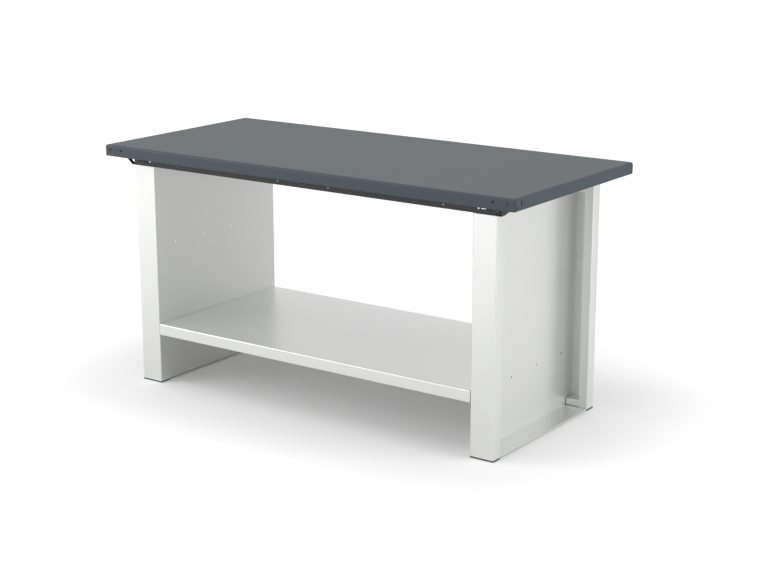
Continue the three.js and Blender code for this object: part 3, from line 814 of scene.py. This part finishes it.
# %% [markdown]
# ## Turned parts
# A stud, a rivet or a screw is round about its own axis. Half of its outline is drawn
# from the axis outwards and back, and spun a full turn. A thread is a row of small
# crests, which is all that one sees of it from a step away.

# %% Turning a profile
turned_sides = 24
chamfer_steps = 2
thread_depth_share = 0.6


def turned(bm, place, outline, axis="z", sides=turned_sides):
    """Spins an outline of (radius, height) points about an axis through a place."""
    along = axis_vectors[axis]
    half_step = Matrix.Rotation(math.pi / sides, 3, along)
    across = half_step @ axis_vectors["x" if axis != "x" else "y"]
    verts = [bm.verts.new(Vector(place) + across * radius + along * height) for radius, height in outline]
    edges = [bm.edges.new(pair) for pair in zip(verts, verts[1:])]
    old_faces = set(bm.faces)
    bmesh.ops.spin(bm, geom=[*verts, *edges], cent=place, axis=along, angle=2 * math.pi,
                   steps=sides, use_merge=True)
    faces = [face for face in bm.faces if face not in old_faces]
    rim = list({vert for face in faces for vert in face.verts})
    bmesh.ops.remove_doubles(bm, verts=rim, dist=merge_distance)
    faces = [face for face in bm.faces if face not in old_faces]
    bmesh.ops.recalc_face_normals(bm, faces=faces)


def thread(radius, pitch, low, high):
    """The outline of a thread between two heights, crest after crest, with a chamfered start."""
    core = radius - thread_depth_share * pitch
    count = round((high - low) / pitch)
    points = [(0, low), (core, low)]
    for i in range(count):
        foot = low + i * (high - low) / count
        points += [(radius, foot + pitch / 2), (core, foot + pitch)]
    return points


def dome(radius, height, base, steps=6):
    """A quarter outline that rises from base to a rounded top on the axis."""
    turns = [i * math.pi / 2 / steps for i in range(steps + 1)]
    points = [(radius * math.cos(turn), base + height * math.sin(turn)) for turn in turns]
    return points[:-1] + [(0, base + height)]


def add_hexagon(bm, place, radius, low, high, axis="z", chamfer=0.0):
    """Adds a hexagonal block, with its far rim chamfered if asked for."""
    verts = add_rod(bm, axis, radius, low, high, place, 6)
    if chamfer:
        index = "xyz".index(axis)
        rim = {edge for vert in verts for edge in vert.link_edges
               if all(near(end.co[index], high) for end in edge.verts)}
        rounded(bm, list(rim), chamfer, chamfer_steps)


print("turned parts have", turned_sides, "sides")

# %% [markdown]
# ## Weld studs
# Studs are shot on to the underside of the worktop, so that nothing shows on top. Three
# stand over each long rail and two over each side rail, and their nuts pull the frame up
# against the sheet.

# %% Weld studs and nuts
stud_radius = 3 * mm
stud_pitch = 1 * mm
stud_tip = 2 * mm
stud_nut_radius = 5.8 * mm
stud_nut_height = 5 * mm
stud_nut_chamfer = 0.6 * mm
stud_nut_edge = 0.15 * mm
stud_nut_bore_sides = 16
fine_edge = 0.1 * mm
long_stud_spacing = 560 * mm
side_stud_spacing = 330 * mm


stud_rows = {}
for name, end in front_and_rear:
    y = end * (frame_face - rail_flange / 2)
    stud_rows[name] = [(x, y, 0) for x in spread_out(3, long_stud_spacing)]
for name, side in left_and_right:
    x = side * (side_high.x - side_flange / 2)
    stud_rows[name] = [(x, y, 0) for y in spread_out(2, side_stud_spacing)]

stud_seat = top_underside - rail_sheet
nut_places = {f"{name}_worktop_nut_{i}": place
              for name, row in stud_rows.items() for i, place in enumerate(row, 1)}
for name, place in nut_places.items():
    bm = bmesh.new()
    low = stud_seat - stud_nut_height - stud_tip
    outline = thread(stud_radius, stud_pitch, low, stud_seat)
    outline += [(stud_radius, stud_seat), (stud_radius, top_underside), (0, top_underside)]
    turned(bm, place, outline)
    stud = mesh_object(name.replace("worktop_nut", "weld_stud"), bm)
    seat(stud, "zinc_steel", edge=fine_edge, steps=1)
    bm = bmesh.new()
    add_hexagon(bm, place, stud_nut_radius, stud_seat, stud_seat - stud_nut_height, chamfer=stud_nut_chamfer)
    nut = mesh_object(f"{name}_hexagon", bm)
    drill(nut, stud_radius + snug_play, (low, top_underside), [place], stud_nut_bore_sides)
    seat(nut, "zinc_steel", name, edge=stud_nut_edge)

# %% [markdown]
# ## Long rails
# A long rail is a channel that opens to the middle of the bench, so a spanner reaches its
# bolts. Its lower flange runs on at each end as a narrow tongue, bent up and outwards to
# the end of the worktop, which braces the overhang. The channel and its two tongues are
# swept one by one and welded together.

# %% Rail sizes
mount_hole_rise = 17.5 * mm
mount_slot_inset = 45.5 * mm
mount_slot_length = 25 * mm
mount_slot_height = 4 * mm
mount_hole_offset = 22 * mm
mount_hole_radius = 4 * mm
hanging_hole_rise = 12.5 * mm
hanging_hole_radius = 2 * mm
hanging_hole_places = (103 * mm, 543 * mm)
bolt_radius = 4 * mm
bolt_play = 0.5 * mm
bolt_spacing = 36 * mm
brace_overlap = 2 * mm
stud_hole_radius = stud_radius + bolt_play
stud_hole_ends = through(top_underside, rail_sheet)


def pair_in_post(side, end, spacing):
    """Two places side by side about the middle of a post."""
    middle = Vector((side * (web_face + post_width / 2), end * (frame_face - post_depth / 2), 0))
    return [middle + Vector((x, 0, 0)) for x in spread_out(2, spacing)]


def rail_cutters(name, end):
    """Holes of a long rail: over each post, along its face, and for bolts, rivets and studs."""
    bm = bmesh.new()
    reach = through(frame_face, rail_sheet, end)
    for side in (-1, 1):
        middle = side * (frame_end - mount_slot_inset)
        height = post_top + mount_hole_rise
        half = (mount_slot_length - mount_slot_height) / 2
        add_slot(bm, "y", mount_slot_height, *reach, (middle - half, 0, height), (middle + half, 0, height))
        for offset in (-mount_hole_offset, mount_hole_offset):
            add_rod(bm, "y", mount_hole_radius, *reach, (middle + offset, 0, height))
        for x in hanging_hole_places:
            place = (side * x, 0, post_top + hanging_hole_rise)
            add_rod(bm, "y", hanging_hole_radius, *reach, place, small_hole_sides)
        for place in pair_in_post(side, end, bolt_spacing):
            add_rod(bm, "z", bolt_radius + bolt_play, *through(post_top + rail_sheet, rail_sheet), place)
        place = (side * rivet_x, end * rivet_y, 0)
        add_rod(bm, "z", rivet_hole_radius, *through(skirt_foot, rail_sheet), place, small_hole_sides)
    for place in stud_rows[name]:
        add_rod(bm, "z", stud_hole_radius, *stud_hole_ends, place, small_hole_sides)
    return bm


# %% Build the long rails
for name, end in front_and_rear:
    half = rail_sheet / 2
    face, edge = end * (frame_face - half), end * (frame_face - rail_flange)
    upper, lower = top_underside - half, post_top + half
    lines = [([(edge, upper), (face, upper), (face, lower), (edge, lower)], "x", -rail_end, rail_end)]
    for side in (-1, 1):
        tongue = [(side * (rail_end - brace_overlap), lower), (side * brace_corner, lower),
                  (side * brace_tab_start, skirt_foot - half),
                  (side * (brace_tab_start + brace_tab), skirt_foot - half)]
        lines.append((tongue, "y", end * frame_face, end * (frame_face - brace_width)))
    rail = folded_piece(f"{name}_rail_channel", rail_sheet, rail_bend, *lines)
    cut_away(rail, rail_cutters(name, end))
    seat(rail, "underframe_paint", f"{name}_rail")

# %% [markdown]
# ## Side rails
# The side rails close the frame at both ends. Past its flanges the web of a side rail
# runs on over the braces, and its ends are folded in beside the long rails.

# %% Build the side rails
for name, side in left_and_right:
    half = rail_sheet / 2
    face = side * (side_high.x - half)
    upper, lower = top_underside - half, post_top + rail_sheet + half
    flange_end = frame_face - rail_flange - side_flange_play
    channel = [(side * (side_high.x - side_flange), upper), (face, upper), (face, lower),
               (side * (side_high.x - side_lip), lower)]
    lines = [(channel, "y", -flange_end, flange_end)]
    for end in (-1, 1):
        fold_line = end * (frame_face - rail_sheet - snug_play - half)
        fold = [(face, end * (flange_end - fold_relief)), (face, fold_line),
                (side * (rail_end + snug_play), fold_line)]
        lines.append((fold, "z", post_top + rail_sheet, top_underside))
    rail = folded_piece(f"{name}_side_rail_channel", rail_sheet, rail_bend, *lines)
    drill(rail, stud_hole_radius, stud_hole_ends, stud_rows[name])
    seat(rail, "underframe_paint", f"{name}_side_rail")

# %% [markdown]
# ## Ribs
# Hat-shaped ribs stiffen the worktop and the shelf from below. A hat is one sheet again:
# foot, two walls and two flanges, so the same sweep makes all six.

# %% Ribs
rib_sheet = 1.5 * mm
rib_bend = 1.5 * mm
rib_foot = 34 * mm
rib_flange = 18 * mm
rib_edge = 0.25 * mm


def hat_rib(node_name, axis, slot):
    """A hat-shaped rib in the box of its node, hung from the box's top with its mouth upwards."""
    low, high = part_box(node_name)
    along, across = (1, 0) if axis == "y" else (0, 1)
    middle = (low[across] + high[across]) / 2
    outer = (high[across] - low[across]) / 2
    upper, lower = high.z - rib_sheet / 2, low.z + rib_sheet / 2
    right = [(rib_foot / 2, lower), (outer - rib_flange, upper), (outer, upper)]
    line = [(middle - u, v) for u, v in reversed(right)] + [(middle + u, v) for u, v in right]
    rib = folded_piece(f"{node_name}_hat", rib_sheet, rib_bend, (line, axis, low[along], high[along]))
    seat(rib, slot, node_name, edge=rib_edge)


for i in range(1, 5):
    hat_rib(f"top_rib_{i}", "y", "underframe_paint")
for i in range(1, 3):
    hat_rib(f"shelf_rib_{i}", "x", "frame_paint")

# %% [markdown]
# ## Brackets and bolts
# In the head of each post a folded bracket carries two weld nuts, and two bolts come down
# through the rail into them. In the foot a box-shaped bracket spreads the load, and the
# pad clips into it with two pegs.

# %% Brackets
weld_nut_radius = 7.5 * mm
weld_nut_height = 6.5 * mm
weld_nut_chamfer = 0.7 * mm
weld_depth = 0.5 * mm
bracket_edge = 0.25 * mm
bolt_head_height = 5.3 * mm
bolt_head_chamfer = 0.8 * mm
bolt_edge = 0.12 * mm
bolt_pitch = 1.25 * mm
peg_radius = 4 * mm
peg_spacing = 44 * mm


def head_bracket(name, side, end):
    low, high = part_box(f"{name}_head_bracket")
    half = bracket_sheet / 2
    top = high.z - half
    line = [(low.y + half, low.z), (low.y + half, top), (high.y - half, top), (high.y - half, low.z)]
    bracket = folded_piece(f"{name}_head_plate", bracket_sheet, bracket_bend, (line, "x", low.x, high.x))
    nuts = bmesh.new()
    nut_top = high.z - bracket_sheet
    nut_foot = nut_top - weld_nut_height
    places = pair_in_post(side, end, bolt_spacing)
    for place in places:
        add_hexagon(nuts, place, weld_nut_radius, nut_top + weld_depth, nut_foot, chamfer=weld_nut_chamfer)
    weld(bracket, mesh_object("weld_nuts", nuts))
    drill(bracket, bolt_radius + snug_play, through(high.z, high.z - low.z), places)
    seat(bracket, "frame_paint", f"{name}_head_bracket", edge=bracket_edge)


def foot_bracket(name, side, end):
    low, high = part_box(f"{name}_foot_bracket")
    half = bracket_sheet / 2
    inner, outer = (low.y + half, high.y) if end > 0 else (high.y - half, low.y)
    line = [(outer, low.z + half), (inner, low.z + half), (inner, high.z - half), (outer, high.z - half)]
    bracket = folded_piece(f"{name}_foot_box", bracket_sheet, bracket_bend, (line, "x", low.x, high.x))
    through_floor = through(low.z + bracket_sheet, bracket_sheet)
    drill(bracket, peg_radius + bolt_play, through_floor, pair_in_post(side, end, peg_spacing))
    seat(bracket, "frame_paint", f"{name}_foot_bracket", edge=bracket_edge)


def frame_bolt(name, place):
    """A bolt with a chamfered hexagon head and a threaded shank."""
    low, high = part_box(name)
    seat_height = high.z - bolt_head_height
    head = bmesh.new()
    add_hexagon(head, place, weld_nut_radius, seat_height, high.z, chamfer=bolt_head_chamfer)
    bolt = mesh_object(f"{name}_body", head)
    shank = bmesh.new()
    plain, inside_head = seat_height - weld_depth, seat_height + bolt_head_height / 2
    outline = thread(bolt_radius, bolt_pitch, low.z, plain)
    outline += [(bolt_radius, plain), (bolt_radius, inside_head), (0, inside_head)]
    turned(shank, place, outline)
    weld(bolt, mesh_object("shank", shank))
    seat(bolt, "zinc_steel", name, edge=bolt_edge, steps=1)


# %% [markdown]
# ## Foot pads
# The pads are injection moulded. Their vertical corners are round, the upper rim has a
# small chamfer, and shallow grooves underneath keep the bench from creeping on a wet
# floor.

# %% Foot pads
pad_corner = 3 * mm
pad_corner_steps = 6
pad_chamfer = 0.7 * mm
pad_chamfer_steps = 3
pad_edge = 0.2 * mm
peg_chamfer = 1 * mm
groove_depth = 0.8 * mm
groove_width = 2 * mm
groove_count = 9


def foot_pad(name, side, end):
    low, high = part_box(f"{name}_foot_pad")
    bm = bmesh.new()
    add_box(bm, low, (high.x, high.y, frame_foot))
    upright = [edge for edge in bm.edges if not near(edge.verts[0].co.z, edge.verts[1].co.z)]
    rounded(bm, upright, pad_corner, pad_corner_steps)
    rounded_rim(bm, frame_foot, pad_chamfer, pad_chamfer_steps)
    pad = mesh_object(f"{name}_pad", bm)
    grooves = bmesh.new()
    for x in spread_out(groove_count, (high.x - low.x) / groove_count):
        middle = (low.x + high.x) / 2 + x
        add_box(grooves, (middle - groove_width / 2, low.y - cut_overrun, -cut_overrun),
                (middle + groove_width / 2, high.y + cut_overrun, groove_depth))
    cut_away(pad, grooves)
    pegs = bmesh.new()
    outline = [(0, frame_foot / 2), (peg_radius, frame_foot / 2), (peg_radius, high.z - peg_chamfer),
               (peg_radius - peg_chamfer, high.z), (0, high.z)]
    for place in pair_in_post(side, end, peg_spacing):
        turned(pegs, place, outline)
    weld(pad, mesh_object("pegs", pegs))
    seat(pad, "pad_plastic", f"{name}_foot_pad", edge=pad_edge)


# %% Fit out the four corners
rivet_radius = 2.4 * mm
rivet_head_radius = 4.5 * mm
rivet_head_height = 1.5 * mm
rivet_edge = 0.08 * mm


def brace_rivet(name, side, end):
    """A rivet with a domed head above and below."""
    low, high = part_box(name)
    place = (side * rivet_x, end * rivet_y, 0)
    lower, upper = low.z + rivet_head_height, high.z - rivet_head_height
    bm = bmesh.new()
    head = dome(rivet_head_radius, rivet_head_height, upper)
    outline = [(radius, lower - (height - upper)) for radius, height in reversed(head)]
    outline += [(rivet_radius, lower), (rivet_radius, upper), *head]
    turned(bm, place, outline)
    rivet = mesh_object(f"{name}_body", bm)
    seat(rivet, "zinc_steel", name, edge=rivet_edge, steps=1)


for x_name, side in left_and_right:
    for y_name, end in front_and_rear:
        corner = f"{y_name}_{x_name}"
        head_bracket(corner, side, end)
        foot_bracket(corner, side, end)
        foot_pad(corner, side, end)
        brace_rivet(f"{corner}_brace_rivet", side, end)
        for i, place in enumerate(pair_in_post(side, end, bolt_spacing), 1):
            frame_bolt(f"{corner}_frame_bolt_{i}", place)

# %% [markdown]
# ## Shelf screws
# Low round-headed screws with a hexagon socket hold the shelf's end flanges to the webs.

# %% Shelf screws
screw_radius = 2.7 * mm
screw_head_radius = 4.5 * mm
screw_head_height = 2.5 * mm
socket_radius = 1.8 * mm
socket_depth = 1.4 * mm
tip_chamfer = 0.4 * mm


def shelf_screw(name, side, y):
    """A screw turned with its seat at the origin and its tip along x, then put in its place."""
    low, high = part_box(name)
    height = (low.z + high.z) / 2
    tip = shelf_sheet + frame_sheet
    outline = [(0, tip), (screw_radius - tip_chamfer, tip), (screw_radius, tip - tip_chamfer),
               (screw_radius, 0)]
    outline += [(radius, -rise) for radius, rise in dome(screw_head_radius, screw_head_height, 0)]
    bm = bmesh.new()
    turned(bm, (0, 0, 0), outline, axis="x")
    screw = mesh_object(f"{name}_body", bm)
    socket = bmesh.new()
    pocket = -screw_head_height - cut_overrun, -screw_head_height + socket_depth
    add_rod(socket, "x", socket_radius, *pocket, (0, 0, 0), 6)
    cut_away(screw, socket)
    turn = Matrix.Rotation(0 if side > 0 else math.pi, 4, "Z")
    screw.data.transform(Matrix.Translation((side * (web_face - shelf_sheet), y, height)) @ turn)
    seat(screw, "black_steel", name, edge=fine_edge, steps=1)


for name, side in left_and_right:
    for i, y in enumerate(spread_out(web_holes_per_row, web_hole_pitches[name]), 1):
        shelf_screw(f"{name}_shelf_screw_{i}", side, y)

left_over = [name for name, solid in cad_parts.items() if not solid.hide_render]
print("solids that still show:", left_over)

# %% [markdown]
# ## Studio
# The bench stands on a white sweep. The world lights it from all round and looks plain
# white to the camera and in reflections. Four broad soft boxes add shape: one overhead,
# one at the front left, a low one at the right and a weak low one in front. They are
# large, so their shadows melt away, and the camera sees none of them. The right one
# faces an end frame squarely, so it is kept out of reflections too.

# %% World
def shown(tree):
    """1 for rays that show a surface to the camera, straight, mirrored or through glass."""
    first, second, third = (node(tree, "ShaderNodeLightPath", {}, {}, f"Is {kind} Ray")
                            for kind in ("Camera", "Glossy", "Transmission"))
    return first.largest(second).largest(third)


world = bpy.data.worlds.new("studio")
world.use_nodes = True
bpy.context.scene.world = world
sky = world.node_tree
world_light = 0.3
strength = shown(sky) * (1 - world_light) + world_light
feed(sky, sky.nodes["Background"].inputs, {"Color": (1, 1, 1, 1), "Strength": strength})
print("world strength on surfaces:", world_light)

# %% Soft boxes
lamp_aim = Vector((0, 0, 0.45))


def soft_box(name, place, width, height, level, mirrored=True):
    """A broad lamp. At level 1 it lights a surface that faces it as a white world would."""
    data = bpy.data.lights.new(name, "AREA")
    data.shape = "RECTANGLE"
    data.size, data.size_y = width, height
    reach = lamp_aim - Vector(place)
    data.energy = level * (math.pi * reach.length) ** 2
    lamp = bpy.data.objects.new(name, data)
    lamp.location = place
    lamp.rotation_euler = reach.to_track_quat("-Z", "Y").to_euler()
    lamp.visible_camera = False
    lamp.visible_glossy = mirrored
    bpy.context.scene.collection.objects.link(lamp)
    print(name, "gives", round(data.energy), "W from", round(reach.length, 1), "m")


soft_box("overhead_box", place=(0, 0, 3.6), width=4.0, height=4.0, level=0.55)
soft_box("front_left_box", place=(-3.6, -3.0, 2.2), width=3.4, height=3.4, level=0.4)
soft_box("right_box", place=(4.2, 0.6, 1.0), width=2.4, height=1.8, level=0.5, mirrored=False)
soft_box("front_card", place=(-0.3, -4.2, 1.0), width=2.4, height=1.6, level=0.18)

# %% [markdown]
# ## Floor
# White paper takes the soft shadow. Far from the bench the lamps no longer reach it, so
# it is lifted to plain white there, for the camera and in reflections only. Close by, a
# small lift for the camera alone keeps the shadow light. In the light that it throws
# back at the bench, the paper is a little greyer.

# %% Floor
floor_radius = 30.0
lift_reach = 6.0
near_lift = [(0.0, 0.05), (0.005, 0.1), (0.03, 0.14), (0.05, 0.19), (0.08, 0.27), (0.16, 0.36)]
far_lift = [(0.3, 0.0), (0.5, 0.2), (1.0, 0.4)]
floor_sides = 96
paper_grey = 0.86
white = (1, 1, 1)
fibre_per_metre = 300
fibre_depth = 0.01 * mm
floor_bm = bmesh.new()
bmesh.ops.create_circle(floor_bm, cap_ends=True, radius=floor_radius, segments=floor_sides)
floor = mesh_object("floor", floor_bm)


def away_from_bench(tree, where):
    """The distance from the bench's footprint, in metres."""
    footprint = (frame_end, frame_face, 0)
    for operation, other in (("ABSOLUTE", {}), ("SUBTRACT", {1: footprint}), ("MAXIMUM", {1: (0, 0, 0)})):
        where = node(tree, "ShaderNodeVectorMath", {"operation": operation}, {0: where, **other})
    return node(tree, "ShaderNodeVectorMath", {"operation": "LENGTH"}, {0: where}, "Value")


def paper(tree):
    to_camera = node(tree, "ShaderNodeLightPath", {}, {}, "Is Camera Ray")
    to_all = shown(tree)
    where = object_place(tree)
    fibre = noise(tree, where, fibre_per_metre)
    share = away_from_bench(tree, where) * (1 / lift_reach)
    near_by = node(tree, "ShaderNodeValToRGB", {"stops": near_lift}, {0: share})
    far_off = node(tree, "ShaderNodeValToRGB", {"stops": far_lift}, {0: share})
    lift = to_camera * near_by + to_all * far_off
    return {"Base Color": tinted(tree, 1 - to_all, white, (paper_grey, paper_grey, paper_grey)),
            "Roughness": 1.0, "Specular IOR Level": 0.0,
            "Emission Color": tinted(tree, lift, (0, 0, 0), white), "Emission Strength": 1.0,
            "Normal": bumped(tree, fibre, fibre_depth)}


floor.data.materials.append(new_material("paper", paper))
print("floor radius:", floor_radius, "m")

# %% Colour management
bpy.context.scene.view_settings.view_transform = "Standard"
